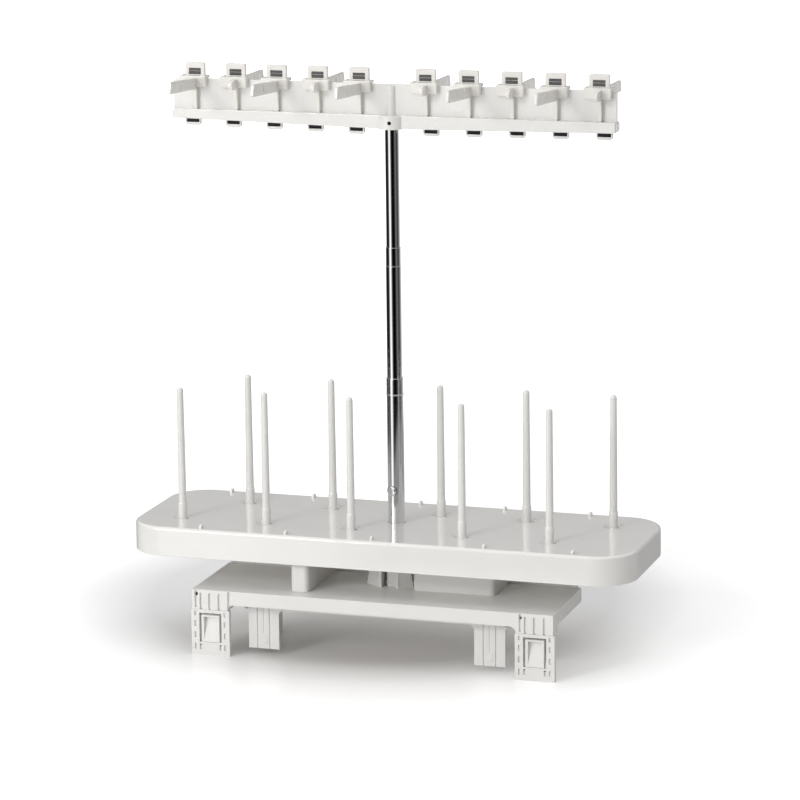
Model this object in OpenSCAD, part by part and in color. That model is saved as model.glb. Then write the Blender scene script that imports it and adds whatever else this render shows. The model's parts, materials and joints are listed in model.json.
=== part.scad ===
// Ten-spool thread rack: a tray with ten spool pins on a clip-on base, and a
// three-section telescopic mast that carries a guide bar with ten thread guides.
// Origin: on the surface the legs stand on, straight below the mast axis.
// +X runs along the tray to the right, +Y to the back, +Z up.

/* [Spool layout] */
// Distance between neighbouring pins of one row
pin_pitch = 70; // [66:0.5:74]
// Distance between the front and the back row
row_gap = 59.5; // [56:0.5:64]
// Distance of the innermost pin from the mast, along the tray
inner_pin = 27.6; // [25:0.1:30]
// Height of a spool pin above the tray
pin_h = 105; // [80:1:125]
// Radius of the plain collar at the foot of a pin
pin_collar_r = 3.55; // [3.3:0.05:3.9]
// Height of that collar
pin_collar_h = 12; // [6:1:20]

/* [Tray] */
// Height of the tray's top face above the standing surface
deck_z = 99.5; // [95:0.5:110]
// Distance from an outer pin to the end of the tray
tray_end = 36; // [34:0.5:44]
// Distance from a pin row to the long edge of the tray
tray_side = 35; // [34:0.5:40]
// Corner radius of the tray
tray_r = 31; // [24:1:36]
// Height of the tray's skirt
tray_h = 23; // [18:1:24]
// Wall thickness of the tray
tray_wall = 2.5; // [2:0.1:3]

/* [Base] */
// Half length of the base platform
base_x = 146; // [140:1:150]
// Front edge of the base platform (Y)
base_y0 = -70; // [-74:1:-68]
// Back edge of the base platform (Y)
base_y1 = 14; // [12:1:16]
// Height of the platform's top face
base_z = 53; // [50:0.5:55]
// Centre of a clip leg, from the mast
clip_x = 131.5; // [128:0.5:133]

/* [Mast] */
// Outside diameter of the lower tube
lower_d = 13; // [12.9:0.1:13.4]
// Top of the lower tube above the tray
lower_top = 116; // [110:0.5:125]
// Top of the middle tube above the tray
middle_top = 219.5; // [205:0.5:225]
// Height of the snap button above the tray
button_h = 26.4; // [20:0.1:30]
// Direction the snap button faces, turned from the front
button_turn = -14.5; // [-30:0.5:30]

/* [Guide bar] */
// Half length of the guide bar
bar_x = 178; // [174:1:186]
// Underside of the bar above the tray
bar_z = 311.5; // [305:0.5:320]
// Distance between neighbouring guides, right half
guide_pitch = 34.2; // [33:0.1:35]
// Distance between neighbouring guides, left half
left_guide_pitch = 33.55; // [33:0.05:35]
// Distance of the innermost right guide from the mast
inner_guide = 27; // [25:0.1:28]
// Distance of the innermost left guide from the mast
left_inner_guide = 26.3; // [25:0.1:28]
// Length of a guide arm from the bar's front
arm_len = 53.5; // [36:0.5:55]

/* [Hidden] */
$fn = 48;

white = [0.93, 0.93, 0.91];
chrome = [0.75, 0.76, 0.78];
dark = [0.2, 0.2, 0.2];
steel = [0.62, 0.63, 0.65];

// pins and guides counted from the left; odd ones stand in front on the left half
half_l = inner_pin + 2 * pin_pitch + tray_end;
half_w = row_gap / 2 + tray_side;
pin_step = [2, 1.5, 1, 0.5, 0];
function pin_xy(i) = i <= 5
  ? [-(inner_pin + pin_step[i - 1] * pin_pitch), (i % 2 == 1 ? -1 : 1) * row_gap / 2]
  : [inner_pin + pin_step[10 - i] * pin_pitch, (i % 2 == 1 ? -1 : 1) * row_gap / 2];
function guide_xc(i) = i <= 5
  ? -(left_inner_guide + (5 - i) * left_guide_pitch)
  : inner_guide + (i - 6) * guide_pitch;
function guide_dir(i) = i % 2 == 1 ? -1 : 1;

// mast diameters: each tube runs in the mouth of the one below it
lower_in = lower_d - 0.8;      // bore of the lower tube
mouth_1 = lower_in - 0.2;      // bore of its mouth
middle_d = mouth_1 - 0.1;      // 0.05 radial clearance
middle_in = middle_d - 0.8;
mouth_2 = middle_in - 0.2;
upper_d = mouth_2 - 0.1;
upper_in = upper_d - 0.8;
collar_1 = 13.8;               // length of the lower tube's mouth
collar_2 = 15.7;               // length of the middle tube's mouth
spigot_top = deck_z + 38;
tube_foot = base_z + 7;        // where the lower tube ends in the socket

riser_top = deck_z - tray_wall;
riser_z = base_z;
rear_x = 111.4;                // centre of a rear leg
latch_z = 9.6;                 // pivot of the latch tongues
latch_y = base_y0 + 2.9;

// slab with round corners, exact
module rslab(hx, hy, r, z0, z1) {
  translate([0, 0, z0]) linear_extrude(z1 - z0) {
    square([2 * (hx - r), 2 * hy], center = true);
    square([2 * hx, 2 * (hy - r)], center = true);
    for (sx = [-1, 1], sy = [-1, 1]) translate([sx * (hx - r), sy * (hy - r)]) circle(r, $fn = 96);
  }
}

module box(x0, x1, y0, y1, z0, z1) {
  translate([x0, y0, z0]) cube([x1 - x0, y1 - y0, z1 - z0]);
}

module tube(ro, ri, z0, z1) {
  translate([0, 0, z0]) difference() {
    cylinder(r = ro, h = z1 - z0);
    translate([0, 0, -1]) cylinder(r = ri, h = z1 - z0 + 2);
  }
}

// screw pointing up, its head's seat at z = 0
module screw(r, len, head_r, head_h) {
  difference() {
    union() {
      cylinder(r = r, h = len);
      translate([0, 0, -head_h]) cylinder(r = head_r, h = head_h + 0.01);
    }
    for (a = [0, 90]) rotate(a) translate([-head_r * 0.55, -0.45, -head_h - 0.1]) cube([head_r * 1.1, 0.9, head_h * 0.6 + 0.1]);
  }
}

tray_screw_xy = [[-61.7, -34], [-61.7, 2], [38, -20], [72, -4]];
socket_screw_xy = [[-13, -13], [13, -13], [-13, 8], [13, 8]];
bracket_screw_x = [-92, 0, 92];
clip_screw_dx = [-9, 9];
riser_boss_r = 4.5;

module tray() {
  color(white) difference() {
    union() {
      difference() {
        rslab(half_l, half_w, tray_r, deck_z - tray_h, deck_z);
        rslab(half_l - tray_wall, half_w - tray_wall, tray_r - tray_wall, deck_z - tray_h - 1, deck_z - tray_wall);
      }
      // stiffening ribs under the top face
      for (sx = [-1, 1]) {
        box(sx * (inner_pin + 1.25 * pin_pitch) - 1, sx * (inner_pin + 1.25 * pin_pitch) + 1, -half_w + 2, half_w - 2, deck_z - 9, deck_z - 2);
        box(sx * (inner_pin + 1.85 * pin_pitch) - 1, sx * (inner_pin + 1.85 * pin_pitch) + 1, -half_w + 2, half_w - 2, deck_z - 9, deck_z - 2);
      }
      for (sx = [-1, 1]) box(min(sx * 96, sx * (half_l - 2)), max(sx * 96, sx * (half_l - 2)), -1, 1, deck_z - 9, deck_z - 2);
      // small thread-end ribs along the edges
      for (i = [1 : 10]) {
        p = pin_xy(i);
        s = i % 2 == 1 ? 1 : -1;
        translate([p[0] + s * 26.3, -s * 59, deck_z - 0.5]) {
          box(-1, 1, -2.6, 2.6, 0, 2.3);
          translate([-1, 0, 2.3]) rotate([0, 90, 0]) cylinder(r = 0.9, h = 2);
        }
      }
    }
    // mast passes through
    translate([0, 0, deck_z - 10]) cylinder(r = lower_d / 2 + 0.35, h = 20);
    // pin seats: shallow dish, neck hole and two entry slots each
    for (i = [1 : 10]) translate([pin_xy(i)[0], pin_xy(i)[1], 0]) {
      translate([0, 0, deck_z - 0.5]) cylinder(r = 8, h = 5);
      translate([0, 0, deck_z - 10]) cylinder(r = 3.2, h = 20);
      for (a = [0, 180]) rotate(a) box(2, 6.3, -1.45, 1.45, deck_z - 5, deck_z + 1);
    }
  }
  // screw bosses that hang into the risers
  color(white) for (p = tray_screw_xy) translate([p[0], p[1], 0]) tube(riser_boss_r, 1.5, deck_z - 14, deck_z - tray_wall + 0.01);
}

module base_platform() {
  color(white) difference() {
    union() {
      difference() {
        box(-base_x, base_x, base_y0, base_y1, 42, base_z);
        box(-base_x + 2.5, base_x - 2.5, base_y0 + 2.5, base_y1 - 2.5, 30, base_z - 2.5);
      }
      // hollow blocks over the clip legs
      for (s = [-1, 1]) difference() {
        box(s * clip_x - 14.7, s * clip_x + 14.7, base_y0, base_y0 + 14, 37.2, base_z);
        box(s * clip_x - 12.2, s * clip_x + 12.2, base_y0 + 3.4, base_y0 + 11.5, 30, base_z - 2.5);
      }
      // rounded webs from the skirt into the blocks
      for (s = [-1, 1]) translate([s * (clip_x - 14.7), base_y0, 42]) difference() {
        box(s > 0 ? -5 : 0, s > 0 ? 0.1 : 5, 0, 2.5, -4.8, 0.1);
        translate([-s * 5, -1, -4.9]) rotate([-90, 0, 0]) cylinder(r = 4.9, h = 5);
      }
      // ribbed rear legs
      for (s = [-1, 1]) {
        box(s * rear_x - 10, s * rear_x + 10, base_y1 - 3, base_y1, 0, base_z - 1);
        for (dx = [-8.75, 0, 8.75]) box(s * rear_x + dx - 1.25, s * rear_x + dx + 1.25, base_y1 - 11, base_y1 - 1, 0, base_z - 1);
        box(s * rear_x - 10, s * rear_x + 10, base_y1 - 11, base_y1 - 1, 0, 2.5);
      }
      // screw bosses
      for (p = socket_screw_xy) translate([p[0], p[1], 0]) translate([0, 0, 44]) cylinder(r = 4, h = 8);
      for (p = tray_screw_xy) translate([p[0], p[1], 0]) translate([0, 0, 44]) cylinder(r = 4, h = 8);
      for (x = bracket_screw_x) translate([x, -50, 50.4]) cylinder(r = 3, h = 0.2);
    }
    // grooves down the faces of the blocks, the first one with a deep hole
    for (s = [-1, 1]) translate([s * clip_x - 14.7, base_y0, 0]) {
      box(2.4, 4.8, -1, 1.6, 38.5, base_z - 0.8);
      translate([3.6, -1, base_z - 4]) rotate([-90, 0, 0]) cylinder(r = 1.1, h = 6);
      for (x = [6.4, 13.6, 21.4]) {
        box(x, x + 2.1, -1, 1.6, 37, base_z - 3.6);
        translate([x + 1.05, -1, base_z - 3.6]) rotate([-90, 0, 0]) cylinder(r = 1.05, h = 2.6);
      }
    }
    // recess beside the left block
    box(-clip_x + 14.75, -clip_x + 17.6, base_y0 - 1, base_y0 + 1.7, 36, base_z - 0.7);
    for (p = socket_screw_xy) translate([p[0], p[1], 40]) cylinder(r = 1.7, h = 20);
    for (p = tray_screw_xy) translate([p[0], p[1], 40]) cylinder(r = 1.7, h = 20);
    for (x = bracket_screw_x) translate([x, -50, 40]) cylinder(r = 1.5, h = 11.8);
    for (s = [-1, 1], dx = clip_screw_dx) translate([s * clip_x + dx, base_y0 + 10, 44.5]) rotate([-90, 0, 0]) cylinder(r = 1.7, h = 6);
    translate([0, 0, 40]) cylinder(r = 3.2, h = 20);
  }
}

// narrow ribbed legs behind the clip legs, joined by a cross bar
module inner_bracket() {
  lx = 92;
  hw = 12.5;
  color(white) difference() {
    union() {
      box(-lx - hw, lx + hw, -56, -53.5, 36.8, 50.3);
      box(-lx - hw, lx + hw, -56, -44, 47.8, 50.3);
      for (s = [-1, 1]) {
        box(s * lx - hw, s * lx + hw, -56, -53.5, 5, 50.3);
        for (x = [-hw + 3.4, hw - 5.6]) box(s * lx + x, s * lx + x + 2.2, -56, -44, 5, 50.3);
        box(s * lx - hw + 3.4, s * lx + hw - 3.4, -56, -44, 5, 7.2);
        // round inner corners
        for (t = [-1, 1]) translate([s * lx + t * hw, -56, 36.8]) difference() {
          box(t > 0 ? 0 : -4, t > 0 ? 4 : 0, 0, 2.5, -4, 0.1);
          translate([t * 4, -1, -4]) rotate([-90, 0, 0]) cylinder(r = 4, h = 5);
        }
      }
      translate([0, -50, 44]) cylinder(r = 4, h = 4);
      for (s = [-1, 1]) translate([s * lx, -50, 40]) cylinder(r = 4, h = 8);
      // round boss low on each leg
      for (s = [-1, 1]) translate([s * lx, -56.5, 12.4]) rotate([-90, 0, 0]) cylinder(r = 3.4, h = 1.5);
    }
    for (s = [-1, 1]) {
      box(s * lx - 5.6, s * lx - 4, -57, -55.2, 4, 48);
      box(s * lx + 4.4, s * lx + 6, -57, -55.2, 4, 48);
      box(s * lx - 0.5, s * lx + 0.5, -57, -55.5, 17, 48);
    }
    for (x = bracket_screw_x) translate([x, -50, 30]) cylinder(r = 1.7, h = 25);
  }
}

module riser(x0, x1, y0, y1, screws) {
  color(white) difference() {
    union() {
      difference() {
        union() {
          box(x0, x1, y0 + 4, y1, riser_z, riser_top);
          box(x0 + 4, x1 - 4, y0, y0 + 5, riser_z, riser_top);
          for (x = [x0 + 4, x1 - 4]) translate([x, y0 + 4, riser_z]) cylinder(r = 4, h = riser_top - riser_z);
        }
        box(x0 + 2.2, x1 - 2.2, y0 + 2.2, y1 - 2.2, riser_z + 2.5, riser_top + 1);
      }
      for (k = screws) translate([tray_screw_xy[k][0], tray_screw_xy[k][1], riser_z]) cylinder(r = 4.6, h = 31.5);
    }
    for (k = screws) translate([tray_screw_xy[k][0], tray_screw_xy[k][1], riser_z - 1]) cylinder(r = 1.7, h = 60);
    // room for the foot of the pin that stands over the front wall
    translate([inner_pin + pin_step[3] * pin_pitch, -row_gap / 2, deck_z - 6]) cylinder(r = 7, h = 10);
  }
}
module left_riser() { riser(-69, -54.4, -57, 11, [0, 1]); }
module right_riser() { riser(21.8, 88, -28.7, 11, [2, 3]); }

// stands on the platform and holds the spigot and the foot of the lower tube
module mast_socket() {
  color(white) difference() {
    union() {
      translate([0, 0, base_z]) cylinder(r = 10.5, h = riser_top - base_z);
      box(-18, 18, -16, 13, base_z, base_z + 3);
      for (x = [-5.8, 8]) box(x - 1.3, x + 1.3, -26.4, 13, base_z, base_z + 22);
      box(-1.6, 7, -21, -7, base_z, base_z + 20);
      // oblique side walls, wider at the foot
      for (s = [-1, 1]) translate([s > 0 ? 8 : -5.8, -25.2, base_z]) rotate(s > 0 ? 36 : 144) rotate([90, 0, 0]) translate([0, 0, -1.1]) linear_extrude(2.2)
        polygon([[0, 0], [s > 0 ? 13 : 16, 0], [s > 0 ? 8.5 : 10, 22], [0, 22]]);
      for (p = socket_screw_xy) translate([p[0], p[1], base_z]) cylinder(r = 4, h = 12);
    }
    translate([0, 0, tube_foot]) cylinder(r = lower_d / 2 + 0.1, h = 60);
    translate([0, 0, base_z + 2.5]) cylinder(r = lower_in / 2 - 0.1, h = 60);
    translate([0, 0, base_z - 1]) cylinder(r = 1.5, h = 60);
    for (p = socket_screw_xy) translate([p[0], p[1], base_z - 1]) cylinder(r = 1.5, h = 12);
  }
}

// lower plate of a front leg: a U-shaped cut frees the latch tongue
module clip_leg(xc) {
  y0 = base_y0 + 0.5;
  color(white) difference() {
    union() {
      box(xc - 15.75, xc + 15.75, y0, y0 + 4, 0, 36.9);
      // tenon that goes up into the block
      box(xc - 12, xc + 12, y0 + 3.2, y0 + 5.7, 30, 48);
      for (dx = [-11.5, 11.5]) box(xc + dx - 1.25, xc + dx + 1.25, y0 + 3, y0 + 9, 0, 34);
    }
    // U-shaped cut, with two small pivots left in its sides
    difference() {
      union() {
        box(xc - 9.2, xc + 9.2, y0 - 1, y0 + 8, latch_z + 1.05, 34.2);
        // a lip hides the foot of the tongue
        box(xc - 9.2, xc + 9.2, y0 + 0.6, y0 + 8, 7.8, latch_z + 2);
      }
      for (s = [-1, 1]) translate([xc + s * 9.3, latch_y, latch_z]) rotate([0, -s * 90, 0]) cylinder(r = 0.6, h = 3.4);
    }
    // pockets down both sides
    for (dx = [-12.2, 12.2], z = [4.4, 14, 23.2, 31.6])
      box(xc + dx - 1, xc + dx + 1, y0 - 1, y0 + 1.4, z, z + (z > 30 ? 3.4 : 4.6));
    // slot feet run on below the tongue
    for (dx = [-8.2, 8.2]) box(xc + dx - 0.9, xc + dx + 0.9, y0 - 1, y0 + 1.3, 4.5, 9);
    for (dx = clip_screw_dx) translate([xc + dx, y0 - 5, 44.5]) rotate([-90, 0, 0]) cylinder(r = 1.5, h = 16);
  }
}
module left_clip_leg() { clip_leg(-clip_x); }
module right_clip_leg() { clip_leg(clip_x); }

// latch tongue: thin at its foot, a deep wedge at its head
module latch(xc) {
  y0 = base_y0 + 0.5;
  color(white) difference() {
    union() {
      translate([xc - 7.4, latch_y, latch_z]) rotate([0, 90, 0]) cylinder(r = 1.45, h = 14.8);
      translate([xc + 7.4, 0, 0]) rotate([0, -90, 0]) linear_extrude(14.8)
        polygon([[latch_z - 0.6, y0 + 1.05], [latch_z + 1.35, y0 + 1.05], [latch_z + 1.35, y0], [32.5, y0], [32.5, y0 + 7], [30, y0 + 7.5], [latch_z, y0 + 2.95]]);
    }
    // sloping pocket, deep at the top
    translate([xc + 5.9, 0, 0]) rotate([0, -90, 0]) linear_extrude(11.2)
      polygon([[12, y0 - 0.01], [31, y0 + 4.6], [31, y0 - 1], [12, y0 - 1]]);
    // bores for the pivots
    for (s = [-1, 1]) translate([xc + s * 7.5, latch_y, latch_z]) rotate([0, -s * 90, 0]) cylinder(r = 0.65, h = 2);
  }
}
module left_latch() { latch(-clip_x); }
module right_latch() { latch(clip_x); }

// steel post inside the lower tube
module mast_spigot() {
  color(steel) difference() {
    translate([0, 0, base_z + 2.6]) cylinder(r = lower_in / 2 - 0.15, h = spigot_top - base_z - 2.6);
    translate([0, 0, base_z + 8]) cylinder(r = 4.9, h = 200);
    translate([0, 0, base_z]) cylinder(r = 1.5, h = 20);
    translate([0, 0, deck_z + button_h]) rotate([90, 0, button_turn]) cylinder(r = 3.85, h = 20);
  }
}

module mast_button() {
  color(chrome) translate([0, 0, deck_z + button_h]) rotate([90, 0, button_turn]) {
    // inner flange keeps it from falling out
    translate([0, 0, 1.7]) cylinder(r = 4.05, h = 0.9);
    translate([0, 0, 2.5]) cylinder(r = 3.8, h = 4.8);
    translate([0, 0, 7.29]) cylinder(r1 = 3.8, r2 = 3.1, h = 0.6);
  }
}

// bent leaf that pushes the button out
module button_spring() {
  color(steel) translate([0, 0, deck_z + button_h]) rotate([0, 0, button_turn]) {
    box(-2, 2, -1.65, -1.2, -9, 9);
    box(-2, 2, -1.65, 3.9, -9.4, -8.9);
    box(-2, 2, 3.45, 3.9, -9.4, 9);
  }
}

module lower_tube() {
  color(chrome) difference() {
    union() {
      translate([0, 0, tube_foot + 0.1]) cylinder(r = lower_d / 2, h = deck_z + lower_top - tube_foot - 0.1);
      // mouth, with a ring at its foot
      translate([0, 0, deck_z + lower_top - collar_1]) cylinder(r = lower_d / 2 + 0.15, h = collar_1 - 0.2);
      translate([0, 0, deck_z + lower_top - collar_1 + 0.2]) cylinder(r = lower_d / 2 + 0.35, h = 0.9);
    }
    translate([0, 0, tube_foot - 1]) cylinder(r = lower_in / 2, h = deck_z + lower_top - collar_1 - tube_foot + 1);
    cylinder(r = mouth_1 / 2, h = 400);
    translate([0, 0, deck_z + button_h]) rotate([90, 0, button_turn]) cylinder(r = 4.2, h = 20);
  }
}

middle_foot = deck_z + lower_top - collar_1 - 3.2;
module middle_tube() {
  color(chrome) difference() {
    union() {
      translate([0, 0, middle_foot]) cylinder(r = middle_d / 2, h = deck_z + middle_top - middle_foot);
    }
    // the mouth is drawn in a little, with a rolled edge and a groove under it
    translate([0, 0, deck_z + middle_top - collar_2]) difference() {
      cylinder(r = 9, h = collar_2 + 1);
      translate([0, 0, -1]) cylinder(r = middle_d / 2 - 0.12, h = collar_2 + 0.82);
      translate([0, 0, collar_2 - 0.19]) cylinder(r1 = middle_d / 2 - 0.12, r2 = middle_d / 2 - 0.28, h = 0.2);
    }
    translate([0, 0, deck_z + middle_top - collar_2 - 0.5]) difference() {
      cylinder(r = 9, h = 0.6);
      translate([0, 0, -1]) cylinder(r = middle_d / 2 - 0.2, h = 3);
    }
    translate([0, 0, middle_foot - 1]) cylinder(r = middle_in / 2, h = deck_z + middle_top - collar_2 - middle_foot + 1);
    cylinder(r = mouth_2 / 2, h = 400);
  }
}

// plug in the foot of the middle tube; its rim stops under the mouth
module middle_glide() {
  color(dark) difference() {
    union() {
      translate([0, 0, middle_foot - 2.2]) cylinder(r = lower_in / 2 - 0.05, h = 2.2);
      translate([0, 0, middle_foot - 0.1]) cylinder(r = middle_in / 2 - 0.02, h = 7);
    }
    translate([0, 0, middle_foot - 5]) cylinder(r = 3, h = 20);
  }
}

upper_foot = deck_z + middle_top - collar_2 - 3.2;
module upper_tube() {
  color(chrome) tube(upper_d / 2, upper_in / 2, upper_foot, deck_z + bar_z + 8);
}

module upper_glide() {
  color(dark) difference() {
    union() {
      translate([0, 0, upper_foot - 2.4]) cylinder(r = middle_in / 2 - 0.05, h = 2.2);
      translate([0, 0, upper_foot - 0.3]) cylinder(r = upper_in / 2 - 0.06, h = 8);
    }
    translate([0, 0, upper_foot - 5]) cylinder(r = 2.5, h = 20);
  }
}

rail_h = 10.2;
panel_top = 33.6;
loop_dx = 3.35;                 // the loops sit a little outside their guides
screw_turn = 7;                // direction of the hub screw
rib_x = 1.5;                   // middle plane of a guide's arm, nose and stem
rib_t = 3.4;                   // their thickness
nose_len = 7.2;                // straight part of the nose in front of the head
// the rail's lower edge rises a little to both ends, and the loops with it
function rail_rise(x) = (x < 0 ? 0.0194 : 0.0135) * max(0, abs(x) - 27);

module guide_bar() {
  z = deck_z + bar_z;
  color(white) difference() {
    union() {
      // set-back panel with round top corners
      translate([0, 2, 0]) rotate([90, 0, 0]) linear_extrude(3) {
        translate([-bar_x, z + rail_h - 1]) square([2 * bar_x, panel_top - rail_h - 2]);
        translate([3 - bar_x, z + rail_h - 1]) square([2 * bar_x - 6, panel_top - rail_h + 1]);
        for (s = [-1, 1]) translate([s * (bar_x - 3), z + panel_top - 3]) circle(3);
      }
      // hollow lower rail
      difference() {
        translate([0, 6, 0]) rotate([90, 0, 0]) linear_extrude(12)
          polygon([[-bar_x, z + rail_rise(-bar_x)], [-27, z], [27, z], [bar_x, z + rail_rise(bar_x)], [bar_x, z + rail_h], [-bar_x, z + rail_h]]);
        box(-bar_x + 2, bar_x - 2, -4.4, 4.4, z - 1, z + rail_h - 1.8);
      }
      for (i = [1 : 10]) box(guide_xc(i) + (i <= 5 ? -1 : 1) * 14 - 0.8, guide_xc(i) + (i <= 5 ? -1 : 1) * 14 + 0.8, -5, 5, z + 3.4, z + rail_h - 1);
      // hub round the mast, with a slim rib above it
      translate([0, 0, z - 0.4]) cylinder(r = 11.2, h = rail_h + 0.4);
      translate([0, 0, z + rail_h - 1]) cylinder(r = 3.5, h = panel_top - rail_h);
      for (s = [-1, 1]) box(s * 16 - 1.2, s * 16 + 1.2, 1.5, 6, z + rail_h - 1, z + 24);
      // thread loops that hang from the rail's rear wall
      for (i = [1 : 10]) translate([guide_xc(i) + (i <= 5 ? -1 : 1) * loop_dx, 5.8, rail_rise(guide_xc(i))]) rotate([90, 0, 0]) linear_extrude(2.8) difference() {
        polygon([[-6.4, z + 1], [-6.4, z - 4.8], [-4.8, z - 6.4], [4.8, z - 6.4], [6.4, z - 4.8], [6.4, z + 1]]);
        translate([-5.1, z - 3.9]) square([10.2, 3]);
      }
    }
    // seat of the upper tube, round a core that fills it
    translate([0, 0, z - 2]) difference() {
      cylinder(r = upper_d / 2 + 0.03, h = 10.2);
      translate([0, 0, -1]) cylinder(r = upper_in / 2 - 0.03, h = 13);
    }
    // threaded hole of the hub screw
    translate([0, 0, z + 4.8]) rotate([90, 0, screw_turn]) cylinder(r = 1.5, h = 20);
    // slots for the guides' feet
    for (i = [1 : 10]) translate([guide_xc(i), 0, 0]) box(rib_x - 1.6, rib_x + 1.6, -4.35, -2.7, z + 4, z + rail_h + 1);
  }
}

module hub_screw() {
  color(dark) translate([0, 0, deck_z + bar_z + 4.8]) rotate([90, 0, screw_turn]) translate([0, 0, upper_d / 2 + 0.06]) difference() {
    cylinder(r = 1.45, h = 4.4);
    translate([0, 0, 2.6]) cylinder(r = 0.8, h = 3, $fn = 6);
  }
}

// arm, nose and stem lie in one plane, a little to the right of the window
module thread_guide(i) {
  z = deck_z + bar_z;
  zt = z + panel_top;
  front = guide_dir(i) < 0;
  color(white) translate([guide_xc(i), 0, 0]) {
    difference() {
      union() {
        // tab with its window
        box(-8, 8, 0.6, 3.6, zt + 0.1, zt + 12);
        // head that sits astride the panel
        box(-10.8, 10.8, -6, -1.05, zt - 6, zt + 2.4);
        box(-10.8, 10.8, -6, 5, zt + 0.1, zt + 2.4);
        box(-9, 9, 2.05, 5, zt - 6, zt + 2.4);
      }
      box(-4.85, 4.85, 0, 5, zt + 2.8, zt + 7.7);
    }
    // flat arm on one side with a thread eye; to the front it rises a little
    ya = front ? 5.9 : 4.9;
    ze = zt - (front ? 1.9 : 3.7);
    difference() {
      translate([rib_x + (front ? rib_t : -rib_t) / 2, 0, 0]) rotate([90, 0, front ? -90 : 90]) linear_extrude(rib_t)
        polygon([[ya, zt - 7.9], [ya, zt + 0.6], [3.5 + arm_len, zt + (front ? 4.1 : 0.6)], [6 + arm_len, zt - (front ? 5 : 8.2)]]);
      translate([rib_x, 0, 0]) box(-4, 4, front ? -37.1 : 35.9, front ? -35.9 : 37.1, ze - 1.4, ze + 1.4);
      for (dz = [-1.4, 1.4]) translate([rib_x - 4, front ? -36.5 : 36.5, ze + dz]) rotate([0, 90, 0]) cylinder(r = 0.6, h = 8);
    }
    // rounded nose on the other side
    yn = front ? 4.9 : 5.9;
    yf = front ? 5 : 6;
    box(rib_x - rib_t / 2, rib_x + rib_t / 2, front ? yn : -yf - nose_len, front ? yf + nose_len : -yn, zt - 6.9, zt + 0.7);
    translate([rib_x - rib_t / 2, front ? yf + nose_len : -yf - nose_len, zt - 3.1]) rotate([0, 90, 0]) cylinder(r = 3.8, h = rib_t);
    // stem down the front of the panel, a little deeper at its top
    translate([rib_x + rib_t / 2, 0, 0]) rotate([90, 0, -90]) linear_extrude(rib_t)
      polygon([[1.05, z + rail_h + 0.05], [4.6, z + rail_h + 0.05], [5.9, zt - 5.9], [1.05, zt - 5.9]]);
    // foot: strip that snaps into the rail
    box(rib_x - 1.3, rib_x + 1.3, -4.25, -2.9, z + 3.5, z + rail_h + 0.3);
    box(rib_x - 1.3, rib_x + 1.3, -4.25, -2.2, z + 3.5, z + 4.6);
  }
}

module thread_guide_1() { thread_guide(1); }
module thread_guide_2() { thread_guide(2); }
module thread_guide_3() { thread_guide(3); }
module thread_guide_4() { thread_guide(4); }
module thread_guide_5() { thread_guide(5); }
module thread_guide_6() { thread_guide(6); }
module thread_guide_7() { thread_guide(7); }
module thread_guide_8() { thread_guide(8); }
module thread_guide_9() { thread_guide(9); }
module thread_guide_10() { thread_guide(10); }

// pairs of soft pads in the guides' windows, a slit between them for the thread
module brake_pads() {
  zt = deck_z + bar_z + panel_top;
  color(dark) for (i = [1 : 10]) translate([guide_xc(i), 0, 0]) {
    box(-4.8, 4.8, 1.2, 3.4, zt + 2.85, zt + 5.1);
    box(-4.8, 4.8, 1.2, 3.4, zt + 5.4, zt + 7.65);
  }
}

// dark liners in the loops under the bar
module lower_eyelets() {
  z = deck_z + bar_z;
  color(dark) for (i = [1 : 10]) translate([guide_xc(i) + (i <= 5 ? -1 : 1) * loop_dx, 0, rail_rise(guide_xc(i))]) difference() {
    box(-5.05, 5.05, 3.2, 5.6, z - 3.85, z - 0.95);
    // the thread's slit slopes, so nothing shines through it
    translate([0, 4.4, z - 2.4]) rotate([40, 0, 0]) box(-3.4, 3.4, -6, 6, -0.2, 0.2);
  }
}

// pin with a bayonet foot: locked with its lugs across the entry slots
module spool_pin(i) {
  z = deck_z - 0.5;
  color(white) translate([pin_xy(i)[0], pin_xy(i)[1], 0]) {
    translate([0, 0, z + 0.02]) cylinder(r = pin_collar_r, h = pin_collar_h);
    translate([0, 0, z + pin_collar_h]) cylinder(r1 = pin_collar_r, r2 = 3.05, h = 1.2);
    translate([0, 0, z + pin_collar_h + 1]) cylinder(r1 = 3.05, r2 = 2.6, h = pin_h + 0.5 - pin_collar_h - 3.6);
    translate([0, 0, deck_z + pin_h - 2.6]) sphere(r = 2.6);
    translate([0, 0, deck_z - tray_wall - 2.6]) cylinder(r = 3.14, h = tray_wall + 2.3);
    box(-1.25, 1.25, -6.1, 6.1, deck_z - tray_wall - 2.3, deck_z - tray_wall - 0.15);
  }
}

module spool_pin_1() { spool_pin(1); }
module spool_pin_2() { spool_pin(2); }
module spool_pin_3() { spool_pin(3); }
module spool_pin_4() { spool_pin(4); }
module spool_pin_5() { spool_pin(5); }
module spool_pin_6() { spool_pin(6); }
module spool_pin_7() { spool_pin(7); }
module spool_pin_8() { spool_pin(8); }
module spool_pin_9() { spool_pin(9); }
module spool_pin_10() { spool_pin(10); }

module tray_screws() {
  color(steel) for (p = tray_screw_xy) translate([p[0], p[1], 43.95]) screw(1.45, 46, 3, 2);
}
module socket_screws() {
  color(steel) {
    for (p = socket_screw_xy) translate([p[0], p[1], 43.95]) screw(1.45, 19, 3, 2);
    translate([0, 0, base_z - 0.05]) screw(1.4, 10, 2.9, 2);
  }
}
module bracket_screws() {
  color(steel) for (x = bracket_screw_x) translate([x, -50, x == 0 ? 43.95 : 39.95]) screw(1.4, x == 0 ? 7.4 : 11.4, 3, 2);
}
module clip_screws() {
  color(steel) for (s = [-1, 1], dx = clip_screw_dx) translate([s * clip_x + dx, base_y0 + 14.05, 44.5]) rotate([90, 0, 0]) screw(1.4, 9.6, 2.9, 1.8);
}

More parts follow.
